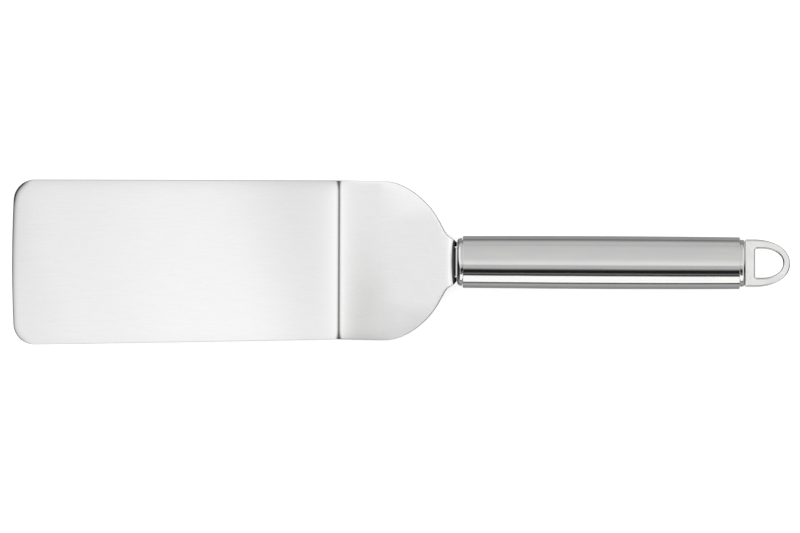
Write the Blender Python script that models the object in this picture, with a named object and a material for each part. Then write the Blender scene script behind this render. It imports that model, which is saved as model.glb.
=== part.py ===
"""Plancha spatula: a press-bent steel blade on a tube handle that ends in a cast hanging loop.

The object lies as on a table: the crank and the tube touch z = 0 and the toe is raised.
The handle runs along +X, the object is mirrored in Y, and its middle is at x = 0.
Lengths are in metres and angles in radians.
"""

import math

import bmesh
import bpy
from mathutils import Vector

# Blade sheet. Lengths along the sheet are those of its middle layer.
SHEET = 0.0015
EDGE_BREAK = 0.00015
BLADE_LENGTH = 0.1528
BLADE_TILT = math.radians(12.0)
TOE_WIDTH = 0.0764
HEEL_WIDTH = 0.0741
TOE_BOW_RADIUS = 0.630
TOE_CORNER_RADIUS = 0.0097
CRANK_INNER_RADIUS = 0.0025

# Shoulder, which narrows from the crank to the neck, and the neck's two small bends.
SHOULDER_REACH = 0.0512
SHOULDER_OVERSIZE = 0.0009
NECK_CREST = 0.0016
NECK_INNER_RADIUS = 0.00125
NECK_FOOT_RADIUS = 0.00075
NECK_LAND = 0.0004
NECK_REACH = 0.0036
NECK_FLARE_RADIUS = 0.0140

# Beside the tang the neck ends in two straight tabs, parted from it by relief cuts.
NECK_TAB = 0.0016
RELIEF_WIDTH = 0.0004

# Tang, which enters the handle and is riveted there.
TANG_WIDTH = 0.0134
TANG_LENGTH = 0.0300
TANG_CORNER_RADIUS = 0.0030

# Handle tube, which swells slightly towards its middle, and the two caps that close it.
TUBE_DIAMETER = 0.0244
TUBE_END_DIAMETER = 0.0239
TUBE_WALL = 0.0015
TUBE_LENGTH = 0.1276
TUBE_RIM_BREAK = 0.00025
FRONT_CAP_DIAMETER = 0.0220
FRONT_CAP_LENGTH = 0.0023
FRONT_CAP_ROUND = 0.0017
REAR_CAP_DIAMETER = 0.0217
REAR_CAP_LENGTH = 0.0020
REAR_CAP_ROUND = 0.0012
CAP_SKIRT_LENGTH = 0.0110
CAP_SKIRT_WALL = 0.0015
CAP_END_WALL = 0.0035

# Tie rod, its rivets and the stem that draws it tight.
STEM_DIAMETER = 0.0036
STEM_GRIP = 0.0120
STEM_ROOT = 0.0023
ROD_WALL = 0.0019
ROD_END_SPACE = 0.0020
FORK_CHEEK = 0.0022
FLAT_RUNOUT = 0.0030
RIVET_DIAMETER = 0.0030
RIVET_HEAD_OVERHANG = 0.0011
RIVET_HEAD_HEIGHT = 0.0010
RIVET_END_MARGIN = 0.0055

# Hanging loop: a flat cast D whose rounds are half ellipses, made fuller by a power a little over 2.
LOOP_WIDTH = 0.0219
LOOP_LENGTH = 0.0207
LOOP_POWER = 2.12
LOOP_THICKNESS = 0.0040
LOOP_STRAIGHT = 0.0040
LOOP_CORNER_RADIUS = 0.0010
LOOP_EDGE_ROUND = 0.0007
BASE_BAR = 0.0045
SIDE_BAR = 0.0036
NOSE_BAR = 0.0031
HOLE_STRAIGHT = 0.0029
HOLE_CORNER_RADIUS = 0.0008

# Clearance that every seated or passing piece keeps to its neighbour.
CLEARANCE = 0.0003

# Fineness of the round shapes.
TURN_STEPS = 72
SMALL_TURN_STEPS = 24
CORNER_STEPS = 6
EDGE_STEPS = 3
BEND_STEPS = 8
ROUND_STEPS = 32
SWELL_STEPS = 8
SMOOTH_ANGLE = math.radians(35.0)
WELD_DISTANCE = 0.000001
CUTTER_REACH = 0.05

# Surface finishes: name, linear colour and roughness.
SATIN_STEEL = ("satin_steel", (0.72, 0.72, 0.71), 0.32)
POLISHED_STEEL = ("polished_steel", (0.64, 0.63, 0.63), 0.10)
CAST_STEEL = ("cast_steel", (0.66, 0.66, 0.65), 0.28)
PLAIN_STEEL = ("plain_steel", (0.42, 0.42, 0.43), 0.40)


def clear_scene():
    for thing in list(bpy.data.objects):
        bpy.data.objects.remove(thing, do_unlink=True)


def steel(name, colour, roughness):
    material = bpy.data.materials.get(name) or bpy.data.materials.new(name)
    material.use_nodes = True
    shader = material.node_tree.nodes["Principled BSDF"]
    shader.inputs["Base Color"].default_value = (*colour, 1.0)
    shader.inputs["Metallic"].default_value = 1.0
    shader.inputs["Roughness"].default_value = roughness
    return material


def add_object(name, builder, parent, finish=None):
    """Makes a smooth shaded object from a bmesh, in the spatula's frame."""
    bmesh.ops.recalc_face_normals(builder, faces=builder.faces)
    mesh = bpy.data.meshes.new(name)
    builder.to_mesh(mesh)
    builder.free()
    mesh.shade_smooth()
    mesh.set_sharp_from_angle(angle=SMOOTH_ANGLE)
    thing = bpy.data.objects.new(name, mesh)
    bpy.context.scene.collection.objects.link(thing)
    thing.parent = parent
    if finish:
        mesh.materials.append(steel(*finish))
    return thing


def combine(thing, tool, operation):
    """Cuts a hidden tool out of an object, or joins it to the object."""
    modifier = thing.modifiers.new(f"{operation.lower()}_{tool.name}", "BOOLEAN")
    modifier.operation = operation
    modifier.solver = "EXACT"
    modifier.object = tool
    tool.hide_render = True
    tool.display_type = "WIRE"


def heading_vector(angle):
    return Vector((math.cos(angle), math.sin(angle)))


def left_of(angle):
    return Vector((-math.sin(angle), math.cos(angle)))


def angle_of(vector):
    return math.atan2(vector.y, vector.x)


def arc(centre, radius, start, end, steps):
    """Points on a circle from one angle to another, both included."""
    turn = (end - start) / steps
    return [centre + radius * heading_vector(start + turn * k) for k in range(steps + 1)]


def turned(name, profile, parent, finish=None, axis="X", centre=(0, 0, 0), steps=TURN_STEPS):
    """Revolves a closed profile of (along, radius) points about an axis through centre."""
    middle = Vector(centre)
    along_axis = Vector((1, 0, 0)) if axis == "X" else Vector((0, 0, 1))
    outward = Vector((0, 0, 1)) if axis == "X" else Vector((1, 0, 0))
    builder = bmesh.new()
    ring = [builder.verts.new(middle + along_axis * along + outward * radius) for along, radius in profile]
    edges = [builder.edges.new((ring[k - 1], ring[k])) for k in range(len(ring))]
    whole = ring + edges
    bmesh.ops.spin(
        builder, geom=whole, cent=middle, axis=along_axis, angle=math.tau, steps=steps, use_merge=True
    )
    bmesh.ops.remove_doubles(builder, verts=builder.verts, dist=WELD_DISTANCE)
    loose = [edge for edge in builder.edges if not edge.link_faces]
    bmesh.ops.delete(builder, geom=loose, context="EDGES")
    return add_object(name, builder, parent, finish)


def block(name, low, high, parent):
    """A box between two opposite corners."""
    builder = bmesh.new()
    bmesh.ops.create_cube(builder, size=1.0)
    low, high = Vector(low), Vector(high)
    for vertex in builder.verts:
        vertex.co = (low + high) / 2 + vertex.co * (high - low)
    return add_object(name, builder, parent)


def round_bar(name, start, end, diameter, parent, axis="X", centre=(0, 0, 0)):
    profile = [(start, 0), (start, diameter / 2), (end, diameter / 2), (end, 0)]
    return turned(name, profile, parent, axis=axis, centre=centre, steps=SMALL_TURN_STEPS)


def thicken(builder, thickness):
    """Pulls the flat faces of a bmesh up into a plate."""
    pulled = bmesh.ops.extrude_face_region(builder, geom=builder.faces[:])["geom"]
    upper = [item for item in pulled if isinstance(item, bmesh.types.BMVert)]
    bmesh.ops.translate(builder, verts=upper, vec=(0, 0, thickness))
    bmesh.ops.recalc_face_normals(builder, faces=builder.faces)


def soften_rims(builder, width, steps):
    """Bevels the edges where a plate's flat faces meet its walls."""
    rims = [edge for edge in builder.edges if edge.calc_face_angle() > SMOOTH_ANGLE and is_level(edge)]
    bmesh.ops.bevel(builder, geom=rims, offset=width, segments=steps, profile=0.5, affect="EDGES")


def is_level(edge):
    return abs(edge.verts[0].co.z - edge.verts[1].co.z) < WELD_DISTANCE


class BentSheet:
    """Carries points of the flat blank round the crank and the neck.

    u runs along the blank with 0 at the crank's lowest point, h is the height over the middle layer.
    Each run holds where it starts on the blank, the bent place and heading there, its length and its turn.
    """

    def __init__(self):
        crank = CRANK_INNER_RADIUS + SHEET / 2
        neck = NECK_INNER_RADIUS + SHEET / 2
        foot = NECK_FOOT_RADIUS + SHEET / 2
        rise = TUBE_DIAMETER / 2 + NECK_CREST - SHEET / 2
        bends = crank + neck
        slant = math.sqrt(SHOULDER_REACH**2 + rise**2 - 2 * bends * rise)
        slope = math.atan2(rise - bends, SHOULDER_REACH) + math.atan2(bends, slant)
        dip = math.acos(1 - NECK_CREST / (neck + foot))
        flat = BLADE_LENGTH - crank * BLADE_TILT
        fold_start = Vector((0, SHEET / 2 + crank)) - crank * left_of(-BLADE_TILT)
        toe = fold_start - flat * heading_vector(-BLADE_TILT)
        blade_to_neck = [
            (flat, 0.0),
            (crank * (BLADE_TILT + slope), BLADE_TILT + slope),
            (slant, 0.0),
            (neck * (slope + dip), -slope - dip),
        ]
        foot_to_tang = [
            (foot * dip, dip),
            (NECK_LAND + TANG_LENGTH, 0.0),
        ]
        self.runs = self.laid_out(blade_to_neck + foot_to_tang, toe, -BLADE_TILT)
        self.foot_start = self.runs[len(blade_to_neck)][0]
        self.neck_end = self.foot_start + foot * dip + NECK_LAND
        self.tang_end = self.neck_end + TANG_LENGTH
        self.tab_end = self.foot_start + ((foot - SHEET / 2) * math.sin(dip) + NECK_LAND) / math.cos(dip)

    @staticmethod
    def laid_out(runs, point, heading):
        u = -BLADE_LENGTH
        placed = []
        for length, turn in runs:
            placed.append((u, point, heading, length, turn))
            point, heading = BentSheet.step(point, heading, length, turn, length)
            u += length
        return placed

    @staticmethod
    def step(point, heading, length, turn, part):
        """The place and heading after a part of a straight run or of an arc."""
        if not turn:
            return point + part * heading_vector(heading), heading
        radius = length / turn
        end = heading + turn * part / length
        return point + radius * (left_of(heading) - left_of(end)), end

    def place(self, u, h=0.0):
        """The bent position (x, z) of a blank point."""
        start, point, heading, length, turn = [run for run in self.runs if run[0] <= u + WELD_DISTANCE][-1]
        middle, tilt = self.step(point, heading, length, turn, u - start)
        return middle + h * left_of(tilt)

    def place_on_tab(self, u, h):
        """The bent position of a point beside the tang, where the sheet goes on straight."""
        start, point, heading = [run[:3] for run in self.runs if run[0] == self.foot_start][0]
        return point + (u - start) * heading_vector(heading) + h * left_of(heading)

    def fold_lines(self):
        """Where the blank is scored across, so that its faces can follow the bends."""
        lines = []
        for start, _, _, length, turn in self.runs[1:]:
            steps = BEND_STEPS if turn else 1
            lines += [start + length * k / steps for k in range(steps)]
        return lines


def toe_outline():
    """The bowed toe edge and its round corner, from the middle line to the straight side."""
    side_start = Vector((-BLADE_LENGTH, TOE_WIDTH / 2))
    side = (Vector((0, HEEL_WIDTH / 2)) - side_start).normalized()
    inward = Vector((side.y, -side.x))
    bow_centre = Vector((TOE_BOW_RADIUS - BLADE_LENGTH, 0))
    reach = TOE_BOW_RADIUS - TOE_CORNER_RADIUS
    from_bow = side_start + TOE_CORNER_RADIUS * inward - bow_centre
    along = -from_bow.dot(side) - math.sqrt(reach**2 - from_bow.cross(side) ** 2)
    corner_centre = bow_centre + from_bow + along * side
    touch = angle_of(corner_centre - bow_centre)
    bow = arc(bow_centre, TOE_BOW_RADIUS, math.pi, touch, CORNER_STEPS)
    corner = arc(corner_centre, TOE_CORNER_RADIUS, touch, angle_of(-inward), CORNER_STEPS)
    return bow + corner[1:]


def shoulder_outline(tab_end):
    """The big round of the shoulder and the flare into the neck's tab."""
    half = HEEL_WIDTH / 2
    radius = half + SHOULDER_OVERSIZE
    centre = Vector((tab_end - NECK_REACH - radius, 0))
    neck = Vector((tab_end, TANG_WIDTH / 2 + RELIEF_WIDTH + NECK_TAB))
    apart = neck - centre
    outer = radius + NECK_FLARE_RADIUS
    along = (apart.length_squared + outer**2 - NECK_FLARE_RADIUS**2) / (2 * apart.length)
    across = math.sqrt(outer**2 - along**2)
    unit = apart.normalized()
    flare_centre = centre + along * unit + across * Vector((-unit.y, unit.x))
    touch = angle_of(flare_centre - centre)
    big = arc(centre, radius, math.asin(half / radius), touch, ROUND_STEPS)
    flare_start = angle_of(centre - flare_centre)
    flare_end = angle_of(neck - flare_centre)
    flare = arc(flare_centre, NECK_FLARE_RADIUS, flare_start, flare_end, 2 * CORNER_STEPS)
    return [Vector((0, half))] + big + flare[1:]


def tang_outline(sheet):
    """The end of the tab, the relief cut and the tang with its round corner."""
    half = TANG_WIDTH / 2
    tab_side = half + RELIEF_WIDTH
    relief = [(sheet.tab_end, tab_side), (sheet.foot_start, tab_side), (sheet.foot_start, half)]
    centre = Vector((sheet.tang_end - TANG_CORNER_RADIUS, half - TANG_CORNER_RADIUS))
    corner = arc(centre, TANG_CORNER_RADIUS, math.pi / 2, 0.0, CORNER_STEPS)
    return [Vector(point) for point in relief] + corner


def make_blade(sheet, parent):
    """Cuts the blank, breaks its edges, scores it across and bends it."""
    half = toe_outline() + shoulder_outline(sheet.tab_end) + tang_outline(sheet)
    other = [Vector((p.x, -p.y)) for p in reversed(half) if p.y > WELD_DISTANCE]
    builder = bmesh.new()
    builder.faces.new([builder.verts.new((p.x, p.y, -SHEET / 2)) for p in half + other])
    thicken(builder, SHEET)
    soften_rims(builder, EDGE_BREAK, 1)
    for line in sheet.fold_lines():
        whole = builder.verts[:] + builder.edges[:] + builder.faces[:]
        plane = {"plane_co": (line, 0, 0), "plane_no": (1, 0, 0)}
        bmesh.ops.bisect_plane(builder, geom=whole, dist=WELD_DISTANCE, **plane)
    tab_side = TANG_WIDTH / 2 + RELIEF_WIDTH / 2
    for vertex in builder.verts:
        u, y, h = vertex.co
        on_tab = u > sheet.foot_start and abs(y) > tab_side
        x, z = sheet.place_on_tab(u, h) if on_tab else sheet.place(u, h)
        vertex.co = (x, y, z)
    blade = add_object("blade", builder, parent, SATIN_STEEL)
    bore = RIVET_DIAMETER + 2 * CLEARANCE
    for number, x in enumerate(rivet_places(sheet), 1):
        centre = (x, 0, TUBE_DIAMETER / 2)
        cutter = round_bar(f"tang_bore_{number}", -CUTTER_REACH, CUTTER_REACH, bore, parent, "Z", centre)
        combine(blade, cutter, "DIFFERENCE")
    return blade


def rivet_places(sheet):
    """One rivet near each end of the stretch where the fork holds the tang."""
    first = sheet.place(sheet.neck_end).x + CAP_END_WALL + RIVET_END_MARGIN
    last = sheet.place(sheet.tang_end).x - RIVET_END_MARGIN
    return [first, last]


def quarter_turn():
    return [math.pi / 2 * k / CORNER_STEPS for k in range(CORNER_STEPS + 1)]


def cap_profile(start, length, diameter, corner, facing):
    """Profile of a cap with a round rim and a hollow skirt; facing is -1 at the front and 1 at the rear.

    start is the place of the outer face, and the skirt reaches into the tube from there.
    """
    inner = TUBE_END_DIAMETER / 2 - TUBE_WALL - CLEARANCE
    hollow = inner - CAP_SKIRT_WALL
    radius = diameter / 2
    rim = [(corner * (1 - math.cos(a)), radius - corner * (1 - math.sin(a))) for a in quarter_turn()]
    body = [
        (length, radius),
        (length, inner),
        (length + CAP_SKIRT_LENGTH, inner),
        (length + CAP_SKIRT_LENGTH, hollow),
        (CAP_END_WALL, hollow),
        (CAP_END_WALL, 0),
    ]
    return [(start - facing * depth, r) for depth, r in [(0, 0)] + rim + body]


def make_front_cap(places, parent):
    """The cap at the neck, with a slot through which the tang passes."""
    face = places["front_face"]
    axis = places["axis"]
    profile = cap_profile(face, FRONT_CAP_LENGTH, FRONT_CAP_DIAMETER, FRONT_CAP_ROUND, -1)
    cap = turned("front_cap", profile, parent, POLISHED_STEEL, centre=(0, 0, axis))
    half_width = TANG_WIDTH / 2 + CLEARANCE
    half_height = SHEET / 2 + CLEARANCE
    low = (face - CUTTER_REACH, -half_width, axis - half_height)
    high = (face + CUTTER_REACH, half_width, axis + half_height)
    combine(cap, block("tang_slot", low, high, parent), "DIFFERENCE")


def swollen(start, end, inward):
    """Points along the tube, a step inward of its outer side, which is fullest in the middle."""
    fall = (TUBE_DIAMETER - TUBE_END_DIAMETER) / 2
    shares = [2 * k / SWELL_STEPS - 1 for k in range(SWELL_STEPS + 1)]
    middle, reach = (start + end) / 2, (end - start) / 2
    return [(middle + share * reach, TUBE_DIAMETER / 2 - fall * share**2 - inward) for share in shares]


def make_tube(places, parent):
    start, end = places["tube_start"], places["tube_end"]
    rim = TUBE_END_DIAMETER / 2 - TUBE_RIM_BREAK
    outside = swollen(start + TUBE_RIM_BREAK, end - TUBE_RIM_BREAK, 0)
    inside = swollen(start, end, TUBE_WALL)
    profile = [(start, rim)] + outside + [(end, rim)] + inside[::-1]
    turned("handle_tube", profile, parent, POLISHED_STEEL, centre=(0, 0, places["axis"]))


def make_rear_cap(places, parent):
    """The cap at the loop, bored for the loop's stem."""
    face = places["rear_face"]
    centre = (0, 0, places["axis"])
    profile = cap_profile(face, REAR_CAP_LENGTH, REAR_CAP_DIAMETER, REAR_CAP_ROUND, 1)
    cap = turned("rear_cap", profile, parent, POLISHED_STEEL, centre=centre)
    bore = STEM_DIAMETER + 2 * CLEARANCE
    cutter = round_bar("stem_bore", face - CUTTER_REACH, face + CUTTER_REACH, bore, parent, centre=centre)
    combine(cap, cutter, "DIFFERENCE")


def fork_half_height():
    """Half the fork's height over its two flats, on which the rivet heads sit."""
    return SHEET / 2 + CLEARANCE + FORK_CHEEK


def make_tie_rod(sheet, places, parent):
    """The round bar that is forked over the tang and bored for the loop's stem."""
    axis = places["axis"]
    start, end = places["rod_start"], places["rod_end"]
    bore = STEM_DIAMETER + 2 * CLEARANCE
    diameter = bore + 2 * ROD_WALL
    rod = round_bar("tie_rod", start, end, diameter, parent, centre=(0, 0, axis))
    rod.data.materials.append(steel(*PLAIN_STEEL))
    gap = SHEET / 2 + CLEARANCE
    fork_end = sheet.place(sheet.tang_end).x + CLEARANCE
    low = (start - CUTTER_REACH, -diameter, axis - gap)
    high = (fork_end, diameter, axis + gap)
    combine(rod, block("fork_slot", low, high, parent), "DIFFERENCE")
    rivets = rivet_places(sheet)
    flat_end = rivets[-1] + RIVET_DIAMETER / 2 + RIVET_HEAD_OVERHANG + FLAT_RUNOUT
    for name, side in (("upper_flat", 1), ("lower_flat", -1)):
        faces = sorted((axis + side * fork_half_height(), axis + side * CUTTER_REACH))
        low = (start - CUTTER_REACH, -diameter, faces[0])
        high = (flat_end, diameter, faces[1])
        combine(rod, block(name, low, high, parent), "DIFFERENCE")
    passage = RIVET_DIAMETER + 2 * CLEARANCE
    for number, x in enumerate(rivets, 1):
        name = f"fork_bore_{number}"
        cutter = round_bar(name, -CUTTER_REACH, CUTTER_REACH, passage, parent, "Z", (x, 0, axis))
        combine(rod, cutter, "DIFFERENCE")
    bottom = places["stem_end"] - CLEARANCE
    socket = round_bar("stem_socket", bottom, end + CUTTER_REACH, bore, parent, centre=(0, 0, axis))
    combine(rod, socket, "DIFFERENCE")


def make_rivet(number, x, axis, parent):
    """A rivet whose two low domed heads sit on the fork's flats."""
    seat = fork_half_height() + CLEARANCE
    shank = RIVET_DIAMETER / 2
    head = shank + RIVET_HEAD_OVERHANG
    dome = [(seat + RIVET_HEAD_HEIGHT * math.sin(a), head * math.cos(a)) for a in quarter_turn()[:-1]]
    upper = [(seat, shank)] + dome + [(seat + RIVET_HEAD_HEIGHT, 0)]
    lower = [(-along, radius) for along, radius in reversed(upper)]
    turned(f"tang_rivet_{number}", upper + lower, parent, PLAIN_STEEL, "Z", (x, 0, axis), SMALL_TURN_STEPS)


def rounded_share(value):
    """A sine or cosine pushed outwards, so that the half ellipse it draws is fuller."""
    return math.copysign(abs(value) ** (2 / LOOP_POWER), value)


def d_outline(base, straight, length, width, corner):
    """A closed D: a straight base with two small corners and a full half ellipse for the rest."""
    half = width / 2
    centre = base + straight
    reach = length - straight
    turns = [math.pi / 2 - math.pi * k / ROUND_STEPS for k in range(ROUND_STEPS + 1)]
    shares = [(rounded_share(math.cos(turn)), rounded_share(math.sin(turn))) for turn in turns]
    nose = [Vector((centre + reach * along, half * across)) for along, across in shares]
    lower = arc(Vector((base + corner, corner - half)), corner, -math.pi / 2, -math.pi, EDGE_STEPS)
    upper = arc(Vector((base + corner, half - corner)), corner, math.pi, math.pi / 2, EDGE_STEPS)
    return nose + lower + upper


def make_hanging_loop(places, parent):
    """A flat D plate with a D hole and round edges, grown together with a round stem."""
    base = places["loop_base"]
    bottom = places["axis"] - LOOP_THICKNESS / 2
    outer = d_outline(base, LOOP_STRAIGHT, LOOP_LENGTH, LOOP_WIDTH, LOOP_CORNER_RADIUS)
    hole_length = LOOP_LENGTH - BASE_BAR - NOSE_BAR
    hole_width = LOOP_WIDTH - 2 * SIDE_BAR
    hole = d_outline(base + BASE_BAR, HOLE_STRAIGHT, hole_length, hole_width, HOLE_CORNER_RADIUS)
    builder = bmesh.new()
    rings = [[builder.verts.new((p.x, p.y, bottom)) for p in outline] for outline in (outer, hole)]
    for k in range(len(outer)):
        builder.faces.new((rings[0][k - 1], rings[0][k], rings[1][k], rings[1][k - 1]))
    thicken(builder, LOOP_THICKNESS)
    soften_rims(builder, LOOP_EDGE_ROUND, EDGE_STEPS)
    loop = add_object("hanging_loop", builder, parent, CAST_STEEL)
    centre = (0, 0, places["axis"])
    root = base + STEM_ROOT
    stem = round_bar("loop_stem", places["stem_end"], root, STEM_DIAMETER, parent, centre=centre)
    combine(loop, stem, "UNION")
    return loop


def handle_places(sheet):
    """Stations along the handle, each worked out from its neighbour."""
    places = {"axis": TUBE_DIAMETER / 2}
    places["front_face"] = sheet.place(sheet.neck_end).x + CLEARANCE
    places["tube_start"] = places["front_face"] + FRONT_CAP_LENGTH + CLEARANCE
    places["tube_end"] = places["tube_start"] + TUBE_LENGTH
    places["rear_face"] = places["tube_end"] + CLEARANCE + REAR_CAP_LENGTH
    places["loop_base"] = places["rear_face"] + CLEARANCE
    places["rod_start"] = places["front_face"] + CAP_END_WALL + CLEARANCE
    places["rod_end"] = places["rear_face"] - CAP_END_WALL - ROD_END_SPACE
    places["stem_end"] = places["rod_end"] - STEM_GRIP
    return places


def main():
    clear_scene()
    spatula = bpy.data.objects.new("spatula", None)
    bpy.context.scene.collection.objects.link(spatula)
    sheet = BentSheet()
    places = handle_places(sheet)
    blade = make_blade(sheet, spatula)
    make_front_cap(places, spatula)
    make_tube(places, spatula)
    make_rear_cap(places, spatula)
    make_tie_rod(sheet, places, spatula)
    for number, x in enumerate(rivet_places(sheet), 1):
        make_rivet(number, x, places["axis"], spatula)
    loop = make_hanging_loop(places, spatula)
    toe = min(vertex.co.x for vertex in blade.data.vertices)
    nose = max(vertex.co.x for vertex in loop.data.vertices)
    spatula.location.x = -(toe + nose) / 2


main()
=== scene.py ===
"""Looks of the plancha spatula: finer meshes on the fixed frame, steel finishes, studio and camera.

The frame's +X runs from the toe to the hanging loop, +Y across the blade and +Z up from the table.
Lengths are in metres and angles in radians, unless a name says degrees.
"""

import math

import bmesh
import bpy
from mathutils import Matrix, Vector
from mathutils.geometry import delaunay_2d_cdt


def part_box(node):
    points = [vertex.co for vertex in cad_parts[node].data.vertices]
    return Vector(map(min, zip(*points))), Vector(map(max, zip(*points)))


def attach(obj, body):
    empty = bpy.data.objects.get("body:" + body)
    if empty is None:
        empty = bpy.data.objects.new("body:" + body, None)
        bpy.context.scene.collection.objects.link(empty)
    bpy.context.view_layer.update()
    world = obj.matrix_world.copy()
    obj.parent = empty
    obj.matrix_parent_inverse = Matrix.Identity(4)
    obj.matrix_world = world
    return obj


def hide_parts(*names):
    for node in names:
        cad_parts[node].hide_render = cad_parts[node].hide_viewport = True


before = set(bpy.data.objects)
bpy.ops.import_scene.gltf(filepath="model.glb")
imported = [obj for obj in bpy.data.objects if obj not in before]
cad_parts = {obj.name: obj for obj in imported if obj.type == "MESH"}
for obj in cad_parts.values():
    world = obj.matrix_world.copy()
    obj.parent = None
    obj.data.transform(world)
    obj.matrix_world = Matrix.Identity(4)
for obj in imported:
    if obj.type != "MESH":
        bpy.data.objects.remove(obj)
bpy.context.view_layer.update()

# Blade sheet, fitted a little closer than the frame's. Lengths along it are those of its middle layer.
SHEET = 0.0015
BLADE_LENGTH = 0.1527
BLADE_TILT = math.radians(12.0)
TOE_WIDTH = 0.0760
HEEL_WIDTH = 0.0736
TOE_TRIM = 0.0001
TOE_BOW_RADIUS = 0.630
TOE_CORNER_RADIUS = 0.0097
CRANK_INNER_RADIUS = 0.0025
SHOULDER_REACH = 0.05161
SHOULDER_OVERSIZE = 0.00144
SHOULDER_CORNER_RADIUS = 0.0230
NECK_CREST = 0.0016
NECK_INNER_RADIUS = 0.0010
NECK_FOOT_RADIUS = 0.0002
NECK_LAND = 0.0004
NECK_REACH = 0.00446
NECK_FLARE_RADIUS = 0.0046
NECK_TAPER = math.radians(26.0)
NECK_TAB = 0.0018
TAB_REACH = 0.00025
RELIEF_WIDTH = 0.0006
TANG_WIDTH = 0.0130
TANG_LENGTH = 0.0300
TANG_CORNER_RADIUS = 0.0030
RIVET_BORE = 0.0036
RIVET_END_MARGIN = 0.0055

# Finer shape of the sheet: a round on its cut edges, and how the metal gives beside the sharp fold.
CUT_EDGE_ROUND = 0.00022
FOLD_LIFT = 0.00014
FOLD_LIFT_REACH = 0.0050
FOLD_LIFT_CORE = 0.0008
FOLD_END_DIP = 0.00011
FOLD_END_REACH = 0.0045
FOLD_END_WIDTH = 0.0011
# Painted shade: a dark line along the fold, wider and darker towards its ends.
FOLD_SHADE_WIDTH = 0.00072
FOLD_SHADE_FLARE = 0.00070
FOLD_SHADE_DRIFT = 0.00022
FOLD_SHADE_MIDDLE = 0.74

# Painted highlights, where the sheet is painted paler beside the fold, over the crest and along the
# shoulder's rim at +Y. Pairs for the fold are towards blade and shoulder, pairs for the sides at -Y and at
# +Y.
FOLD_HIGHLIGHT_PEAK = 0.0020
FOLD_HIGHLIGHT_CORE = 0.0010
FOLD_HIGHLIGHT_REACH = (0.0046, 0.0028)
FOLD_HIGHLIGHT_SHARE = (1.0, 0.75)
CREST_HIGHLIGHT_PEAK = 0.0001
CREST_HIGHLIGHT_REACH = 0.0012
CREST_HIGHLIGHT_SHARE = 0.6
SIDE_HIGHLIGHT_LOSS = (0.5, 0.9)
SIDE_HIGHLIGHT_REACH = (0.0012, 0.0025)
RIM_HIGHLIGHT_START = (0.0, 0.0100)
RIM_HIGHLIGHT_SHARE = 0.95
RIM_HIGHLIGHT_REACH = 0.0008

# How the neck's crest bows: its ends lie nearer the handle than its middle.
CREST_BOW = 0.0006
CREST_BOW_RUN = 0.0040

# How much darker the sheet's face gets towards its edges, at -Y and at +Y, and how far in.
TOE_SHADE = (0.62, 0.98)
TOE_SHADE_SIDES = (-0.026, 0.030)
TOE_SHADE_REACH = (0.00072, 0.00085)
TOE_CORNER_SHADE = 0.68
TOE_CORNER_SIDES = (0.025, 0.031)
TOE_SHADE_TURN = 0.75
BLADE_SIDE_SHADE = (0.03, 0.15)
SHOULDER_SIDE_SHADE = (0.22, 0.0)
SIDE_SHADE_REACH = 0.0022
SHOULDER_SHADE_REACH = 0.0006
SHOULDER_SHADE_RUN = (0.0180, 0.0260)
FOLD_SIDE_SHADE = (0.0, 0.10)
FOLD_SIDE_REACH = 0.0060
CUT_EDGE_SHADE = 0.75
TOE_RINGS = (0.0003, 0.0006, 0.0010, 0.0015, 0.0022, 0.0032)

# Caps, tube and loop.
CAP_END_WALL = 0.0035
CAP_SKIRT_WALL = 0.0015
FRONT_FLANGE = 0.0023
FRONT_RIM_ROUND = 0.0017
REAR_FLANGE = 0.0020
REAR_RIM_ROUND = 0.0012
TUBE_END_DIAMETER = 0.0239
TUBE_WALL = 0.0015
TUBE_RIM_ROUND = 0.00025
CLEARANCE = 0.0003
STEM_DIAMETER = 0.0036
STEM_ROOT = 0.0025
LOOP_LENGTH = 0.0209
LOOP_POWER = 2.12
LOOP_THICKNESS = 0.0040
LOOP_STRAIGHT = 0.0042
LOOP_CORNER_RADIUS = 0.0010
LOOP_EDGE_ROUND = 0.0009
LOOP_BASE_ROUND = 0.0004
BASE_BAR = 0.0047
SIDE_BAR = 0.0042
NOSE_BAR = 0.0032
HOLE_STRAIGHT = 0.0029
HOLE_CORNER_RADIUS = 0.0008

# Painted light and shade on the sheet: how its tone drifts along and across it, and the darker patch on the
# shoulder.
BLADE_CLOUD_SHIFT = 0.010
BLADE_TONE_SLANT = 0.2
BLADE_TOE_TONE = 0.885
BLADE_TONES = [(-0.173, -0.145, 0.945), (-0.145, -0.095, 1.0), (-0.078, -0.035, 0.872)]
BLADE_CROSS_FADE = 0.9
BLADE_FADE_END = (-0.033, -0.029)
SHOULDER_SHADE_PATCH = ((-0.0175, -0.0450), (0.019, 0.073))

# Distances towards +X from the front cap's face, or for the seam from the rear cap's, between which a finish
# or a painted shade starts or ends, and the places across between which the caps' painted shade ends.
NECK_POLISH_START = (-0.0045, -0.0028)
CREASE_START = (-0.00120, -0.00100)
CREASE_END = (-0.00070, -0.00045)
UNBUFFED_END = (0.0005, 0.0009)
SHADED_RIM_START = (0.00005, 0.0002)
SEAM_SHADE_START = (-0.00055, -0.00025)
SHADE_HALF_SIDES = (-0.0025, 0.0030)

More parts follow.
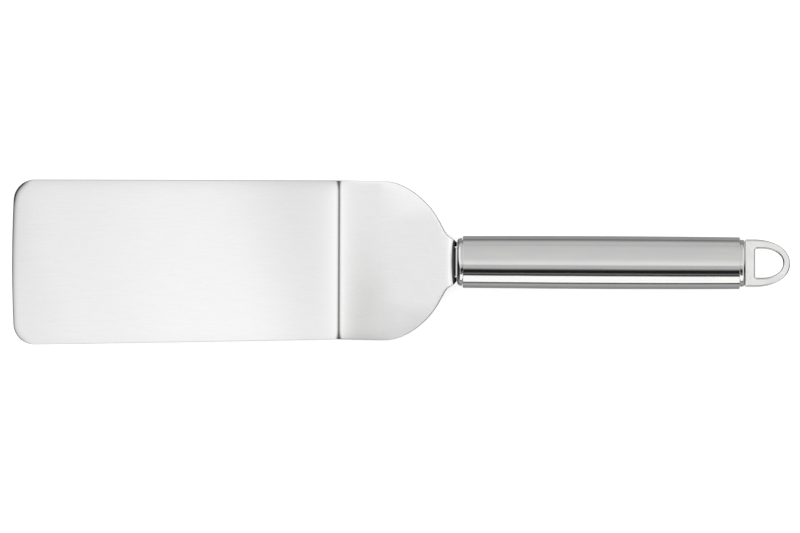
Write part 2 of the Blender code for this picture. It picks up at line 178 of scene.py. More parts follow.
# Noises of the finishes: waves per metre along x, y and z, then detail and roughness.
BLADE_STREAKS = ((70.0, 1500.0, 300.0), 3.0, 0.6)
BLADE_HAIRS = ((150.0, 5200.0, 900.0), 2.0, 0.7)
BLADE_CLOUDS = ((22.0, 30.0, 22.0), 2.0, 0.5)
POLISH_LINES = ((12.0, 1400.0, 1400.0), 3.0, 0.6)
POLISH_STAINS = ((45.0, 160.0, 160.0), 2.0, 0.5)
POLISH_WAVES = ((38.0, 75.0, 75.0), 1.0, 0.5)
CAST_GRAIN = ((2600.0, 2600.0, 2600.0), 3.0, 0.6)
CAST_CLOUDS = ((160.0, 160.0, 160.0), 2.0, 0.5)
TURNED_RINGS = ((4000.0, 60.0, 60.0), 2.0, 0.5)
TURNED_BLOTCHES = ((240.0, 240.0, 240.0), 2.0, 0.5)

# What a noise gives: the range of it that counts, then the range that it gives, if that isn't 0 to 1.
BLADE_LEVEL = (0.35, 0.65, 0.757, 0.773)
SHADE_PATCH_SHARE = (0.2, 0.8, 0.6, 0.95)
BLADE_ROUGHNESS = (0.3, 0.7, 0.27, 0.31)
WARM_SHARE = (0.38, 0.62)
LINE_SHARE = (0.45, 0.75, 0.0, 0.4)
POLISH_ROUGHNESS = (0.3, 0.7, 0.075, 0.12)
PALE_SHARE = (0.3, 0.7)
CAST_ROUGHNESS = (0.3, 0.7, 0.13, 0.20)
TURNED_ROUGHNESS = (0.3, 0.7, 0.34, 0.46)

# Roughness of single places, the sheet's anisotropy, and each bump's distance and strength.
NECK_ROUGHNESS = 0.12
WORN_ROUGHNESS = 0.15
UNBUFFED_ROUGHNESS = 0.3
BLADE_ANISOTROPY = 0.55
BLADE_BUMP = (0.000004, 0.6)
POLISH_BUMP = (0.00012, 0.5)
CAST_BUMP = (0.00001, 0.5)
TURNED_BUMP = (0.00003, 0.5)

# Colours as red, green, blue and alpha.
WHITE = (1.0, 1.0, 1.0, 1.0)
BLACK = (0.0, 0.0, 0.0, 1.0)
# Black of the painted shade on the caps.
SHADE_BLACK = (0.02, 0.02, 0.02, 1.0)
# Unbuffed steel darkened with painted shade, at the front cap's face and the crease of the neck's foot.
UNBUFFED_AND_SHADED = (0.22, 0.22, 0.22, 1.0)
# Painted shade of the patch on the shoulder.
SHADED_SHEET = (0.500, 0.497, 0.487, 1.0)
# Painted highlights.
HIGHLIGHT_SHEET = (0.80, 0.80, 0.798, 1.0)
# Painted shade along the fold.
FOLD_SHADE_DARK = (0.08, 0.08, 0.08, 1.0)
CUT_SHEET = (0.42, 0.42, 0.42, 1.0)
COOL_POLISH = (0.635, 0.627, 0.633, 1.0)
WARM_POLISH = (0.648, 0.645, 0.628, 1.0)
LINED_POLISH = (0.60, 0.595, 0.595, 1.0)
WORN_POLISH = (0.67, 0.665, 0.66, 1.0)
GREY_CAST = (0.69, 0.69, 0.68, 1.0)
PALE_CAST = (0.745, 0.745, 0.735, 1.0)
EDGE_CAST = (0.66, 0.66, 0.655, 1.0)
GREY_TURNED = (0.37, 0.37, 0.38, 1.0)
PALE_TURNED = (0.47, 0.47, 0.48, 1.0)

# Fineness of the meshes.
TURN_STEPS = 192
STEM_STEPS = 48
BORE_STEPS = 32
ARC_STEPS = 60
CORNER_STEPS = 14
EDGE_STEPS = 4
LOOP_EDGE_STEPS = 8
BEND_STEPS = 18
SWELL_STEPS = 32
TANG_CELLS = 6
FLOOR_CELLS = 8
SHARP_ANGLE = math.radians(33.0)
FLAT_FACE_WEIGHT = 100
TINY = 1e-9
MERGE = 1e-7
CUTTER_REACH = 0.01

# Lines and points of the sheet's mesh: the first gap, its growth and the largest gap.
BLADE_LINES = (0.00010, 1.12, 0.0040)
SHOULDER_LINES = (0.00010, 1.12, 0.0030)
CREST_LINES = (0.0004, 1.35, 0.0030)
CREST_LINES_RUN = 0.009
CROSS_POINTS = (0.0007, 1.35, 0.0030)
CROSS_POINTS_END = 0.0008
RELIEF_POINTS_GAP = 0.0005

# Least cosine of a smooth turn of the outline, and least share across of a straight inset.
SMOOTH_COSINE = 0.94
SHARE_ACROSS = 0.35

# Camera: its lean, its distance from the handle's axis and the object's offset in the picture.
CAMERA_LEAN_X = math.radians(3.2)
CAMERA_LEAN_Y = math.radians(-0.80)
CAMERA_ROLL = math.radians(-0.270)
CAMERA_DISTANCE = 3.50
PICTURE_OFFSET = (0.000946, 0.002262)
METRES_PER_PIXEL = 0.00046148
PICTURE_WIDTH_PIXELS = 800
SENSOR_WIDTH_MM = 36.0
CAMERA_RANGE = (0.1, 30.0)

# Studio: levels of the light that the steel mirrors, 1 being the white of the background. Angles are in
# degrees: across is 0 overhead and grows towards -Y, along grows towards +X. Each step goes to a level
# between two angles.
HORIZON_LEVEL = 0.70
CEILING_STEPS = [(-92.0, -62.0, 0.83), (-62.0, -20.0, 0.885), (-22.0, 4.0, 1.11)]
SCRIM_STEPS = [(6.0, 12.0, 0.68), (21.0, 33.0, 0.015)]
FLAG_EDGE_STEPS = [(45.0, 47.0, 0.24), (50.0, 52.0, 0.05)]
STRIP_LIGHT_STEPS = [(58.5, 61.5, 1.50), (96.0, 98.0, 0.50)]

# Panels at both sides and the dark far end at the right: where each starts along, how softly, and its level.
RIGHT_PANEL = (12.0, 3.0)
RIGHT_PANEL_LEVEL = 1.22
LEFT_PANEL = (-12.0, 3.0)
LEFT_PANEL_LEVEL = 1.34
RIGHT_FAR = (46.0, 8.0)
RIGHT_FAR_SIDES = (5.0, 42.0)
RIGHT_FAR_LEVEL = (0.75, 0.05)

# Dark end of the studio at the left: where it starts along, and its level, each from side to side across.
LEFT_DARK_SIDES = (-15.0, 38.0)
LEFT_DARK_START = (-62.0, -20.0)
LEFT_DARK_SOFT = 2.0
LEFT_DARK_LEVEL_SIDES = (-25.0, 0.0)
LEFT_DARK_LEVEL = (0.45, 0.03)

# Floor: a pale sheet, what the camera sees of it, and what the steel mirrors of it from -Y to +Y.
FLOOR_LOW = (-3.0, -0.203, 0.0)
FLOOR_HIGH = (3.0, 3.0, 0.0)
FLOOR_DROP = 0.0001
FLOOR_WHITE = 0.80
FLOOR_GLOW = 0.60
FLOOR_RIM_LEVEL = 0.10
# What the steel mirrors is darker near the tube, a painted shadow, with a narrow darker band at +Y and a
# dark rim far out at -Y.
FLOOR_STEPS = [
    (-0.105, -0.074, 0.46),
    (-0.074, -0.055, 0.68),
    (-0.055, -0.026, 0.47),
    (0.033, 0.038, 0.26),
    (0.042, 0.054, 0.50),
    (0.056, 0.081, 0.76),
    (0.085, 0.148, 0.80),
]


def feed(tree, socket, value):
    """Gives a socket a plain value, or links it to another node's output."""
    if isinstance(value, bpy.types.NodeSocket):
        tree.links.new(value, socket)
    else:
        socket.default_value = value


def set_inputs(tree, node, settings):
    """Feeds the inputs of a node, by name or number."""
    for key, value in settings.items():
        feed(tree, node.inputs[key], value)


def calc(tree, operation, *values):
    node = tree.nodes.new("ShaderNodeMath")
    node.operation = operation
    set_inputs(tree, node, dict(enumerate(values)))
    return node.outputs[0]


def remap(tree, value, start, end, low=0.0, high=1.0, shape="SMOOTHSTEP"):
    """Goes from low to high while the value goes from start to end."""
    node = tree.nodes.new("ShaderNodeMapRange")
    node.interpolation_type = shape
    limits = {"From Min": start, "From Max": end, "To Min": low, "To Max": high}
    set_inputs(tree, node, {"Value": value, **limits})
    return node.outputs["Result"]


def crossing(tree, value, place, soft):
    """Rises softly from 0 before a place to 1 past it."""
    return remap(tree, value, place - soft, place + soft)


def near_face(tree, x, face, distances, *levels):
    """Goes from 0 to 1, or between two levels, from one distance beside a face to another."""
    start, end = [face + distance for distance in distances]
    return remap(tree, x, start, end, *levels)


def stepped(tree, value, level, steps):
    """Starts at a level and goes to the next ones between given values."""
    for start, end, after in steps:
        level = mix_value(tree, remap(tree, value, start, end), level, after)
    return level


def mixer(tree, kind, settings):
    """A node that mixes values or colours, which has other input numbers for each kind."""
    node = tree.nodes.new("ShaderNodeMix")
    node.data_type = kind
    set_inputs(tree, node, settings)
    return node


def mix_value(tree, share, first, second):
    return mixer(tree, "FLOAT", {0: share, 2: first, 3: second}).outputs[0]


def mix_colour(tree, share, first, second):
    return mixer(tree, "RGBA", {0: share, 6: first, 7: second}).outputs[2]


def layered(tree, colour, layers):
    """A colour with others laid over it, each by its share."""
    for share, upper in layers:
        colour = mix_colour(tree, share, colour, upper)
    return colour


def noise(tree, place, stretch, detail, roughness):
    """Noise on a place that is first scaled along each axis; stretch is in waves per metre."""
    scaled = tree.nodes.new("ShaderNodeVectorMath")
    scaled.operation = "MULTIPLY"
    set_inputs(tree, scaled, {0: place, 1: stretch})
    node = tree.nodes.new("ShaderNodeTexNoise")
    waves = {"Scale": 1.0, "Detail": detail, "Roughness": roughness}
    set_inputs(tree, node, {"Vector": scaled.outputs[0], **waves})
    return node.outputs["Fac"]


def attribute(tree, name):
    node = tree.nodes.new("ShaderNodeAttribute")
    node.attribute_name = name
    return node.outputs["Fac"]


def bump(tree, height, distance, strength):
    node = tree.nodes.new("ShaderNodeBump")
    set_inputs(tree, node, {"Height": height, "Distance": distance, "Strength": strength})
    return node.outputs["Normal"]


def new_material(name, metallic=1.0):
    """A material, its node tree, its shader and the place on the object."""
    material = bpy.data.materials.new(name)
    material.use_nodes = True
    tree = material.node_tree
    shader = tree.nodes["Principled BSDF"]
    shader.inputs["Metallic"].default_value = metallic
    place = tree.nodes.new("ShaderNodeTexCoord").outputs["Object"]
    return material, tree, shader, place


def coordinates(tree, place):
    """The x, y and z of a place."""
    split = tree.nodes.new("ShaderNodeSeparateXYZ")
    feed(tree, split.inputs[0], place)
    return split.outputs


def neutral(tree, level):
    """A grey of the given level."""
    colour = tree.nodes.new("ShaderNodeCombineColor")
    set_inputs(tree, colour, dict.fromkeys(range(3), level))
    return colour.outputs[0]


def patch(tree, place, centre, radii):
    """1 in the middle of an oval on the sheet, fading to 0 at its rim."""
    x, y, _ = coordinates(tree, place)
    shares = []
    for value, middle, radius in zip((x, y), centre, radii):
        share = calc(tree, "DIVIDE", calc(tree, "SUBTRACT", value, middle), radius)
        shares.append(calc(tree, "MULTIPLY", share, share))
    return remap(tree, calc(tree, "SQRT", calc(tree, "ADD", *shares)), 0.0, 1.0, 1.0, 0.0)


def blade_steel(front_face):
    """Satin sheet, brushed along the blade, glossier at the neck, with painted light and shade, also in the
    fold.
    """
    material, tree, shader, place = new_material("blade_satin")
    streaks = noise(tree, place, *BLADE_STREAKS)
    hairs = noise(tree, place, *BLADE_HAIRS)
    clouds = noise(tree, place, *BLADE_CLOUDS)
    x, y, _ = coordinates(tree, place)
    # Painted light and shade: the tone steps along the sheet and, on the flat blade, darkens towards +Y.
    slanted = calc(tree, "MULTIPLY_ADD", y, BLADE_TONE_SLANT, x)
    drift = calc(tree, "MULTIPLY_ADD", clouds, BLADE_CLOUD_SHIFT, slanted)
    tone = stepped(tree, drift, BLADE_TOE_TONE, BLADE_TONES)
    cross_fade = remap(tree, x, *BLADE_FADE_END, -BLADE_CROSS_FADE, 0.0)
    faded = calc(tree, "MULTIPLY", tone, calc(tree, "MULTIPLY_ADD", y, cross_fade, 1.0))
    level = calc(tree, "MULTIPLY", remap(tree, streaks, *BLADE_LEVEL), faded)
    # Painted shade: a darker patch on the shoulder, towards its -Y side, mottled by the clouds.
    shade_patch = calc(tree, "MULTIPLY", patch(tree, place, *SHOULDER_SHADE_PATCH), remap(tree, clouds, *SHADE_PATCH_SHARE))
    # Painted shade: darker in the crease of the neck's foot, just before the front cap's face.
    in_crease = near_face(tree, x, front_face, CREASE_START)
    crease = calc(tree, "MULTIPLY", in_crease, near_face(tree, x, front_face, CREASE_END, 1.0, 0.0))
    layers = [
        (shade_patch, SHADED_SHEET),
        # Painted highlights beside the fold, over the crest and along the shoulder's rim.
        (attribute(tree, "painted_highlight"), HIGHLIGHT_SHEET),
        # Painted shade along the fold.
        (attribute(tree, "fold_shade"), FOLD_SHADE_DARK),
        (attribute(tree, "cut_edge"), CUT_SHEET),
        (crease, UNBUFFED_AND_SHADED),
        (attribute(tree, "edge_shade"), BLACK),
    ]
    satin = remap(tree, hairs, *BLADE_ROUGHNESS, "LINEAR")
    tangent = tree.nodes.new("ShaderNodeTangent")
    tangent.direction_type = "UV_MAP"
    tangent.uv_map = "blank"
    polished = near_face(tree, x, front_face, NECK_POLISH_START)
    finish = {
        "Base Color": layered(tree, neutral(tree, level), layers),
        "Roughness": mix_value(tree, polished, satin, NECK_ROUGHNESS),
        "Normal": bump(tree, hairs, *BLADE_BUMP),
        "Anisotropic": BLADE_ANISOTROPY,
        "Tangent": tangent.outputs[0],
    }
    set_inputs(tree, shader, finish)
    return material


def polished_steel(front_face, rear_face):
    """Mirror polish with faint draw lines along the tube; the front cap's face is left unbuffed, with
    painted shade.
    """
    material, tree, shader, place = new_material("polished")
    lines = noise(tree, place, *POLISH_LINES)
    stains = noise(tree, place, *POLISH_STAINS)
    tinted = mix_colour(tree, remap(tree, stains, *WARM_SHARE), COOL_POLISH, WARM_POLISH)
    x, y, _ = coordinates(tree, place)
    # The front cap's face is unbuffed: rougher, and darker by painted shade beside the neck.
    dull = near_face(tree, x, front_face, UNBUFFED_END, 1.0, 0.0)
    # Painted shade: black on the -Y half of the front cap's rim beside its face, and of the rear cap's face
    # by the loop.
    at_side = remap(tree, y, *SHADE_HALF_SIDES, 1.0, 0.0)
    at_rim = calc(tree, "MULTIPLY", at_side, near_face(tree, x, front_face, SHADED_RIM_START))
    at_seam = calc(tree, "MULTIPLY", at_side, near_face(tree, x, rear_face, SEAM_SHADE_START))
    wear = attribute(tree, "wear")
    layers = [
        (remap(tree, lines, *LINE_SHARE), LINED_POLISH),
        (wear, WORN_POLISH),
        (at_seam, SHADE_BLACK),
        (dull, mix_colour(tree, at_rim, UNBUFFED_AND_SHADED, SHADE_BLACK)),
    ]
    polish = mix_value(tree, wear, remap(tree, lines, *POLISH_ROUGHNESS, "LINEAR"), WORN_ROUGHNESS)
    finish = {
        "Base Color": layered(tree, tinted, layers),
        "Roughness": mix_value(tree, dull, polish, UNBUFFED_ROUGHNESS),
        "Normal": bump(tree, noise(tree, place, *POLISH_WAVES), *POLISH_BUMP),
    }
    set_inputs(tree, shader, finish)
    return material


def loop_steel():
    """Cast steel, tumbled to a soft satin and a little darker at its edges."""
    material, tree, shader, place = new_material("cast_satin")
    grain = noise(tree, place, *CAST_GRAIN)
    clouds = noise(tree, place, *CAST_CLOUDS)
    cloudy = mix_colour(tree, remap(tree, clouds, *PALE_SHARE), GREY_CAST, PALE_CAST)
    edged = mix_colour(tree, attribute(tree, "cut_edge"), cloudy, EDGE_CAST)
    roughness = remap(tree, grain, *CAST_ROUGHNESS, "LINEAR")
    normal = bump(tree, grain, *CAST_BUMP)
    set_inputs(tree, shader, {"Base Color": edged, "Roughness": roughness, "Normal": normal})
    return material


def plain_steel():
    """Turned steel of the hidden pieces, with the tool's fine rings."""
    material, tree, shader, place = new_material("turned")
    rings = noise(tree, place, *TURNED_RINGS)
    blotches = noise(tree, place, *TURNED_BLOTCHES)
    mottled = mix_colour(tree, remap(tree, blotches, *PALE_SHARE), GREY_TURNED, PALE_TURNED)
    roughness = remap(tree, rings, *TURNED_ROUGHNESS, "LINEAR")
    normal = bump(tree, rings, *TURNED_BUMP)
    set_inputs(tree, shader, {"Base Color": mottled, "Roughness": roughness, "Normal": normal})
    return material


def heading_vector(angle):
    return Vector((math.cos(angle), math.sin(angle)))


def left_of(angle):
    return Vector((-math.sin(angle), math.cos(angle)))


def angle_of(vector):
    return math.atan2(vector.y, vector.x)


def eased(value, start, end):
    """0 before start and 1 after end, with a smooth rise between them."""
    share = min(1.0, max(0.0, (value - start) / (end - start)))
    return share * share * (3 - 2 * share)


def arc(centre, radius, start, end, steps):
    """Points on a circle from one angle to another, both included."""
    turn = (end - start) / steps
    return [centre + radius * heading_vector(start + turn * k) for k in range(steps + 1)]


class BentSheet:
    """Carries points of the flat blank round the crank and the neck.

    u runs along the blank with 0 at the crank's lowest point, and heights are over the middle layer.
    Each run holds where it starts on the blank, the bent place and heading there, its length and its turn.
    """

    def __init__(self, tube_diameter):
        crank = CRANK_INNER_RADIUS + SHEET / 2
        neck = NECK_INNER_RADIUS + SHEET / 2
        foot = NECK_FOOT_RADIUS + SHEET / 2
        rise = tube_diameter / 2 + NECK_CREST - SHEET / 2
        bends = crank + neck
        slant = math.sqrt(SHOULDER_REACH**2 + rise**2 - 2 * bends * rise)
        slope = math.atan2(rise - bends, SHOULDER_REACH) + math.atan2(bends, slant)
        dip = math.acos(1 - NECK_CREST / (neck + foot))
        flat = BLADE_LENGTH - crank * BLADE_TILT
        crank_start = Vector((0, SHEET / 2 + crank)) - crank * left_of(-BLADE_TILT)
        toe = crank_start - flat * heading_vector(-BLADE_TILT)
        turns = [
            (flat, 0.0),
            (crank * (BLADE_TILT + slope), BLADE_TILT + slope),
            (slant, 0.0),
            (neck * (slope + dip), -slope - dip),
            (foot * dip, dip),
            (NECK_LAND + TANG_LENGTH, 0.0),
        ]
        self.runs = self.laid_out(turns, toe, -BLADE_TILT)
        self.crest_start, self.foot_start, self.foot_end = [run[0] for run in self.runs[-3:]]
        self.foot_run = self.runs[-2]
        self.neck_end = self.foot_end + NECK_LAND
        self.tang_end = self.neck_end + TANG_LENGTH
        tab = (foot - SHEET / 2) * math.sin(dip) + NECK_LAND + TAB_REACH
        self.tab_end = self.foot_start + tab / math.cos(dip)

    @staticmethod
    def laid_out(turns, point, heading):
        u = -BLADE_LENGTH
        placed = []
        for length, turn in turns:
            placed.append((u, point, heading, length, turn))
            point, heading = BentSheet.step(point, heading, length, turn, length)
            u += length
        return placed

    @staticmethod
    def step(point, heading, length, turn, part):
        """The place and heading after a part of a straight run or of an arc."""
        if not turn:
            return point + part * heading_vector(heading), heading
        radius = length / turn
        end = heading + turn * part / length
        return point + radius * (left_of(heading) - left_of(end)), end

    def place(self, u, y, height):
        """The bent position of a blank point; a tab beside the tang goes on straight."""
        on_tab = u > self.foot_start and abs(y) > (TANG_WIDTH + RELIEF_WIDTH) / 2
        runs = [run for run in self.runs if run[0] <= u + TINY] or self.runs[:1]
        start, point, heading, length, turn = self.foot_run if on_tab else runs[-1]
        middle, tilt = self.step(point, heading, length, 0.0 if on_tab else turn, u - start)
        x, z = middle + height * left_of(tilt)
        return Vector((x + self.crest_bow(u, y), y, z + self.fold_give(u, y)))

    def crest_bow(self, u, y):
        """How far the crest lies towards the handle, growing to its ends and fading out beside it."""
        rise = eased(u, self.crest_start - CREST_BOW_RUN, self.crest_start)
        drop = 1 - eased(u, self.crest_start, self.foot_start)
        return CREST_BOW * rise * drop * (y / (TANG_WIDTH / 2 + RELIEF_WIDTH + NECK_TAB)) ** 2

    @staticmethod
    def fold_give(u, y):
        """How far the sheet stands over the ideal fold, with a dip at the fold's ends."""
        lift = FOLD_LIFT * math.exp(-math.hypot(u, FOLD_LIFT_CORE) / FOLD_LIFT_REACH)
        near_end = fold_end_share(y)
        return lift - FOLD_END_DIP * near_end**2 * math.exp(-((u / FOLD_END_WIDTH) ** 2))


def fold_end_share(y):
    """0 in the middle of the fold, 1 at its ends."""
    return max(0.0, 1 - (HEEL_WIDTH / 2 - abs(y)) / FOLD_END_REACH)


def fold_shade(u, y):
    """How dark the painted shade along the fold is at a blank point."""
    near_end = fold_end_share(y)
    width = FOLD_SHADE_WIDTH + FOLD_SHADE_FLARE * near_end**2
    drift = FOLD_SHADE_DRIFT * near_end if y > 0 else 0.0
    strength = FOLD_SHADE_MIDDLE + (1 - FOLD_SHADE_MIDDLE) * near_end
    return math.exp(-(((u + drift) / width) ** 4)) * strength


def painted_highlight(u, y, crest):
    """How strong the painted highlight beside the fold and over the crest is at a blank point, less so at
    the sheet's sides.
    """
    side = int(u > 0)
    away = abs(u) - FOLD_HIGHLIGHT_PEAK
    fading = math.exp(-away / FOLD_HIGHLIGHT_REACH[side]) if away > 0 else math.exp(-((away / FOLD_HIGHLIGHT_CORE) ** 2))
    at_crest = math.exp(-(((crest - CREST_HIGHLIGHT_PEAK - u) / CREST_HIGHLIGHT_REACH) ** 2))
    edge = int(y > 0)
    inside = max(0.0, HEEL_WIDTH / 2 - abs(y))
    kept = 1 - SIDE_HIGHLIGHT_LOSS[edge] * math.exp(-inside / SIDE_HIGHLIGHT_REACH[edge])
    return max(FOLD_HIGHLIGHT_SHARE[side] * fading * kept, CREST_HIGHLIGHT_SHARE * at_crest)


class ToeEdge:
    """The bowed toe edge and its round corner, from the middle line to the straight side."""

    def __init__(self):
        side_start = Vector((-BLADE_LENGTH, TOE_WIDTH / 2))
        side = (Vector((0, HEEL_WIDTH / 2)) - side_start).normalized()
        self.inward = Vector((side.y, -side.x))
        self.bow_centre = Vector((TOE_BOW_RADIUS - BLADE_LENGTH, 0))
        reach = TOE_BOW_RADIUS - TOE_CORNER_RADIUS
        from_bow = side_start + TOE_CORNER_RADIUS * self.inward - self.bow_centre
        along = -from_bow.dot(side) - math.sqrt(reach**2 - from_bow.cross(side) ** 2)
        self.corner_centre = self.bow_centre + from_bow + along * side

    def outline(self, inset=0.0):
        touch = angle_of(self.corner_centre - self.bow_centre)
        bow = arc(self.bow_centre, TOE_BOW_RADIUS - inset, math.pi, touch, CORNER_STEPS)
        side = angle_of(-self.inward)
        corner = arc(self.corner_centre, TOE_CORNER_RADIUS - inset, touch, side, CORNER_STEPS)
        return bow + corner[1:]

    def depth(self, point):
        """How far a point lies inside the toe's edge."""
        point = Vector((point.x, abs(point.y)))
        from_corner = point - self.corner_centre
        if from_corner.x < 0 < from_corner.y:
            return TOE_CORNER_RADIUS - from_corner.length
        return TOE_BOW_RADIUS - (point - self.bow_centre).length

    def facing(self, point):
        """1 along the toe, falling to 0 round the corner to the long side."""
        from_corner = Vector((point.x, abs(point.y))) - self.corner_centre
        if from_corner.y <= 0 or from_corner.x >= 0:
            return float(from_corner.x < 0)
        return eased(-from_corner.x / from_corner.length, 0.0, TOE_SHADE_TURN)


class ShoulderSide:
    """The big round of the shoulder and the flare into the neck's tab, as a half width over u."""

    def __init__(self, tab_end):
        self.radius = HEEL_WIDTH / 2 + SHOULDER_OVERSIZE
        self.centre = Vector((tab_end - NECK_REACH - self.radius, 0))
        self.neck = Vector((tab_end, TANG_WIDTH / 2 + RELIEF_WIDTH + NECK_TAB))
        taper, aside = heading_vector(-NECK_TAPER), left_of(-NECK_TAPER)
        outer = self.radius + NECK_FLARE_RADIUS
        above_neck = self.neck + NECK_FLARE_RADIUS * aside
        reach = above_neck - self.centre
        back = reach.dot(taper) - math.sqrt(outer**2 - reach.cross(taper) ** 2)
        self.flare_centre = above_neck - back * taper
        self.flare_end = self.flare_centre - NECK_FLARE_RADIUS * aside
        self.touch = self.centre + self.radius / outer * (self.flare_centre - self.centre)
        inner, height = self.radius - SHOULDER_CORNER_RADIUS, HEEL_WIDTH / 2 - SHOULDER_CORNER_RADIUS
        self.start = self.centre.x + math.sqrt(inner**2 - height**2)
        self.corner_centre = Vector((self.start, height))
        self.corner_end = self.centre + self.radius / inner * (self.corner_centre - self.centre)

    def half_width(self, u):
        if u <= self.start:
            return HEEL_WIDTH / 2 + (TOE_WIDTH - HEEL_WIDTH) / 2 * max(0.0, -u) / BLADE_LENGTH
        if u <= self.corner_end.x:
            return self.corner_centre.y + math.sqrt(SHOULDER_CORNER_RADIUS**2 - (u - self.start) ** 2)
        if u <= self.touch.x:
            return math.sqrt(self.radius**2 - (u - self.centre.x) ** 2)
        if u <= self.flare_end.x:
            return self.flare_centre.y - math.sqrt(NECK_FLARE_RADIUS**2 - (u - self.flare_centre.x) ** 2)
        return self.neck.y + (self.neck.x - u) * math.tan(NECK_TAPER)

    def round_places(self, end):
        """Where outline points go on the two rounds, at even turns, up to the place end."""
        change, last = angle_of(self.corner_end - self.centre), angle_of(self.touch - self.centre)
        corner = arc(self.corner_centre, SHOULDER_CORNER_RADIUS, math.pi / 2, change, CORNER_STEPS)
        big = arc(self.centre, self.radius, change, last, ARC_STEPS)
        return [point.x for point in corner + big[1:] if point.x < end]


def closed_edges(ring):
    return [(ring[k - 1], ring[k]) for k in range(len(ring))]


def growing_steps(reach, gap, growth, largest):
    """Distances below a reach whose gaps grow from the given one to the largest."""
    distances = []
    distance = gap
    while distance < reach:
        distances.append(distance)
        gap = min(gap * growth, largest)
        distance += gap
    return distances


def even_steps(start, end, steps):
    return [start + (end - start) * k / steps for k in range(steps + 1)]


class BladeBlank:
    """The flat blank as a net of points and edges that the bends can follow."""

    def __init__(self, sheet):
        self.sheet = sheet
        self.side = ShoulderSide(sheet.tab_end)
        self.toe = ToeEdge()
        self.points, self.edges = [], []
        self.lines = self.fold_lines()
        self.trace_outline()
        self.score_lines()

    def add(self, u, y):
        self.points.append(Vector((u, y)))
        return len(self.points) - 1

    def fold_lines(self):
        """Lines across the whole sheet: fine in the bends, wider apart where it is flat."""
        toe = self.toe.outline()[-1].x
        blade = [-place for place in growing_steps(-toe, *BLADE_LINES)]
        shoulder = growing_steps(self.side.start, *SHOULDER_LINES)
        crest = even_steps(self.sheet.crest_start, self.sheet.foot_start, BEND_STEPS)
        before = [crest[0] - place for place in growing_steps(CREST_LINES_RUN, *CREST_LINES)]
        return blade[::-1] + [0.0] + shoulder + before[::-1] + crest

    def trace_outline(self):
        sheet, half = self.sheet, TANG_WIDTH / 2
        toe = self.toe.outline()
        flare = even_steps(sheet.foot_start, sheet.tab_end, CORNER_STEPS)
        along = sorted(set(self.lines + self.side.round_places(sheet.crest_start) + flare[1:]))
        side = [Vector((u, self.side.half_width(u))) for u in along]
        relief = [(sheet.tab_end, half + RELIEF_WIDTH), (sheet.foot_start, half + RELIEF_WIDTH)]
        tang = [(u, half) for u in even_steps(sheet.foot_start, sheet.foot_end, BEND_STEPS)]
        corner_centre = Vector((sheet.tang_end - TANG_CORNER_RADIUS, half - TANG_CORNER_RADIUS))
        corner = arc(corner_centre, TANG_CORNER_RADIUS, math.pi / 2, 0.0, CORNER_STEPS)
        upper = toe + side + [Vector(point) for point in relief + tang] + corner
        lower = [Vector((point.x, -point.y)) for point in reversed(upper) if point.y > TINY]
        self.outline = [self.add(*point) for point in upper + lower]
        self.edges += closed_edges(self.outline)

    def side_depth(self, point):
        """How far a point lies inside the long sides."""
        return max(0.0, self.side.half_width(min(point.x, self.sheet.tab_end)) - abs(point.y))

    def edge_shade(self, point):
        """How much darker the face is at a point near the edge."""
        upper = int(point.y > 0)
        toe = max(0.0, self.toe.depth(point))
        shares = BLADE_SIDE_SHADE if point.x < 0 else SHOULDER_SIDE_SHADE
        at_fold = FOLD_SIDE_SHADE[upper] * math.exp(point.x / FOLD_SIDE_REACH) if point.x < 0 else 0.0
        place = eased(point.y, *TOE_SHADE_SIDES)
        toe_share, toe_reach = [low + (high - low) * place for low, high in (TOE_SHADE, TOE_SHADE_REACH)]
        toe_share += TOE_CORNER_SHADE * eased(point.y, *TOE_CORNER_SIDES)
        at_toe = min(1.0, toe_share * self.toe.facing(point) * math.exp(-toe / toe_reach))
        place = eased(point.x, *SHOULDER_SHADE_RUN)
        reach = SIDE_SHADE_REACH + (SHOULDER_SHADE_REACH - SIDE_SHADE_REACH) * place
        at_side = (shares[upper] + at_fold) * math.exp(-min(self.side_depth(point), toe) / reach)
        return max(at_toe, at_side)

    def rim_highlight(self, point):
        """How strong the painted highlight along the shoulder's rim at +Y is at a point near it."""
        if point.y <= 0 or point.x > self.sheet.crest_start:
            return 0.0
        rise = RIM_HIGHLIGHT_SHARE * eased(point.x, *RIM_HIGHLIGHT_START)
        return rise * math.exp(-self.side_depth(point) / RIM_HIGHLIGHT_REACH)

    def score_lines(self):
        sheet, half = self.sheet, TANG_WIDTH / 2
        for inset in TOE_RINGS:
            for point in self.toe.outline(inset):
                self.add(point.x, point.y)
                self.add(point.x, -point.y)
        for u in self.lines:
            width = self.side.half_width(u)
            inner = [half, half + RELIEF_WIDTH] if u == self.lines[-1] else []
            self.score(u, width, inner)
        for u in even_steps(sheet.foot_start, sheet.foot_end, BEND_STEPS)[1:]:
            self.score(u, half, [])
        for u in even_steps(sheet.foot_end, sheet.tang_end - TANG_CORNER_RADIUS, TANG_CELLS)[1:]:
            for y in even_steps(-half, half, TANG_CELLS)[1:-1]:
                self.add(u, y)

    def score(self, u, width, inner):
        """A line across the sheet at u, out to the half width, with finer points near its ends."""
        near_ends = [width - place for place in growing_steps(width - CROSS_POINTS_END, *CROSS_POINTS)]
        middle = [y for y in near_ends if all(abs(y - other) > RELIEF_POINTS_GAP for other in inner)]
        places = sorted({0.0, width, *middle, *inner})
        row = [self.add(u, -y) for y in reversed(places) if y > 0] + [self.add(u, y) for y in places]
        self.edges += list(zip(row[:-1], row[1:]))


def bore_centres(sheet):
    """The middles of the rivet bores on the blank."""
    first = sheet.neck_end + CAP_END_WALL + RIVET_END_MARGIN
    return [Vector((u, 0)) for u in (first, sheet.tang_end - RIVET_END_MARGIN)]


